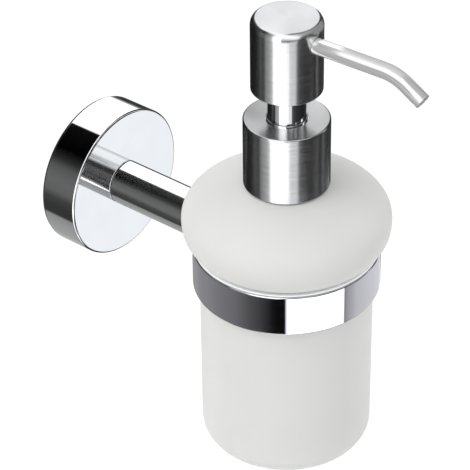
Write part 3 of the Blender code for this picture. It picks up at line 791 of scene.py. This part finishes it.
def reflector(obj, material):
    """A studio panel that only reflections see."""
    obj.data.materials.append(material)
    for ray in ("camera", "diffuse", "transmission", "volume_scatter", "shadow"):
        setattr(obj, "visible_" + ray, False)


SQUARE = ((-1, -1), (1, -1), (1, 1), (-1, 1))


def top_panel(name, height, stops):
    """What the flat top at this height mirrors: bands from its left to its right."""
    toward, distance, half = Vector((0.672, 0.526, 0.52)).normalized(), 62, 19
    across = toward.cross(Vector((0, 0, 1))).normalized()
    turned = Matrix((across, toward.cross(across), toward)).transposed().to_4x4()
    centre = Vector((0, 0, height)) + distance * toward
    place = ON_AXIS @ Matrix.Translation(centre * MM) @ turned
    bm = bmesh.new()
    bm.faces.new([bm.verts.new(Vector((x, y, 0)) * half * MM) for x, y in SQUARE])
    reflector(new_object(name, bm, place), glow(name, stops, along=True))


def panel(name, points):
    """One flat face through points in mm."""
    bm = bmesh.new()
    bm.faces.new([bm.verts.new(Vector(p) * MM) for p in points])
    return new_object(name, bm, Matrix.Identity(4))


def curved_panel(name, radius, span, heights, matrix, lift=0):
    """A strip round local Z, from angle to angle, that rises towards its ends if lift isn't 0."""
    bm = bmesh.new()
    rows = []
    for angle in np.linspace(*span, 96):
        rise = lift * (angle / span[1]) ** 2
        turn = math.radians(angle)
        rows.append([bm.verts.new(Vector((radius * math.cos(turn), radius * math.sin(turn),
                                          height + rise)) * MM) for height in heights])
    for here, there in zip(rows, rows[1:]):
        bm.faces.new((here[0], there[0], there[1], here[1]))
    return new_object(name, bm, matrix)


def make_reflectors():
    """Panels for the ring, the spout, the flange's face, the arm and the two flat tops."""
    turned = ON_AXIS @ Matrix.Rotation(TOWARD_CAMERA, 4, "Z")
    skirt = curved_panel("ring_reflector", radius=60, span=(-118.5, 127), heights=(-32, -14),
                         matrix=turned, lift=-13)
    reflector(skirt, glow("ring_bands", RING_BANDS, tint=RING_TINT))
    wing = curved_panel("ring_wing", radius=40, span=(-128, -97), heights=(-30, -7),
                        matrix=turned)
    reflector(wing, glow("ring_wing", light=(grey(150),) * 3))
    hood = curved_panel("spout_reflector", radius=22, span=(-12, 187), heights=(10, 50),
                        matrix=ALONG_SPOUT)
    reflector(hood, glow("spout_bands", SPOUT_BANDS))

    toward, distance, half = Vector((0.612, -0.561, -0.558)).normalized(), 150, 40
    centre = Vector((0, -FLANGE_FACE, 0)) + distance * toward
    side = toward.cross(Vector((0, 0, 1))).normalized()
    over = side.cross(toward)
    corners = [centre + half * (a * side + b * over) for a, b in SQUARE]
    reflector(panel("face_reflector", corners),
              glow("face_light", light=tuple(grey(v) for v in (246, 249, 252))))

    flag = panel("arm_flag", [(-45, -25, -60), (-45, -48, -60), (-45, -48, -22), (-45, -25, -22)])
    reflector(flag, glow("flag_dark", light=(grey(60),) * 3))
    top_panel("collar_top_light", COLLAR_HIGH, COLLAR_TOP)
    top_panel("head_top_light", HEAD_HIGH, HEAD_TOP)


def make_floor():
    half, depth = 4.0, 0.45
    bm = bmesh.new()
    bmesh.ops.create_grid(bm, x_segments=1, y_segments=1, size=half)
    floor = new_object("floor", bm, Matrix.Translation((0, 0, -depth)))
    made = Finish("floor", roughness=0.9, specular_ior_level=0.0)
    marks = made.noise(3.0)
    made.colour(made.ramp(marks, [(0.3, (0.97, 0.97, 0.97)), (0.7, (0.985, 0.985, 0.985))]))
    floor.data.materials.append(made.material)
    floor.visible_glossy = False


def make_lamp():
    """A large soft lamp from the upper left that shapes the glass."""
    lamp = bpy.data.lights.new("soft_lamp", "AREA")
    lamp.shape, lamp.size, lamp.energy = "DISK", 0.9, 5.5
    obj = bpy.data.objects.new("soft_lamp", lamp)
    bpy.context.scene.collection.objects.link(obj)
    place, aim = Vector((-0.72, 0.2, 1.05)), Vector((0, AXIS_Y, 0))
    obj.matrix_world = Matrix.Translation(place) @ (place - aim).to_track_quat(
        "Z", "Y").to_matrix().to_4x4()
    obj.visible_glossy = False
    obj.visible_camera = False


def make_camera():
    """The photo's camera, solved from the object's outlines."""
    turn, height, roll = CAMERA_TURN, math.radians(35.227), math.radians(-0.712)
    back = Vector((math.sin(turn) * math.cos(height), -math.cos(turn) * math.cos(height),
                   math.sin(height)))
    right = Vector((math.cos(turn), math.sin(turn), 0))
    up = back.cross(right)
    across = math.cos(roll) * right + math.sin(roll) * up
    over = math.cos(roll) * up - math.sin(roll) * right
    camera = bpy.data.cameras.new("camera")
    camera.sensor_width, camera.lens = 36.0, 188.63
    camera.clip_start, camera.clip_end = 0.05, 20.0
    obj = bpy.data.objects.new("camera", camera)
    bpy.context.scene.collection.objects.link(obj)
    matrix = Matrix((across, over, back)).transposed().to_4x4()
    matrix.translation = (-0.5392983, -0.5095991, 0.4918957)
    obj.matrix_world = matrix
    bpy.context.scene.camera = obj


make_camera()
make_flange()
make_arm()
make_ring()
make_bottle()
make_collar()
make_stem()
make_head()
make_spout()
make_spring()
finish_kept_nodes()
make_sky()
make_reflectors()
make_floor()
make_lamp()
bpy.context.scene.view_settings.view_transform = "Standard"
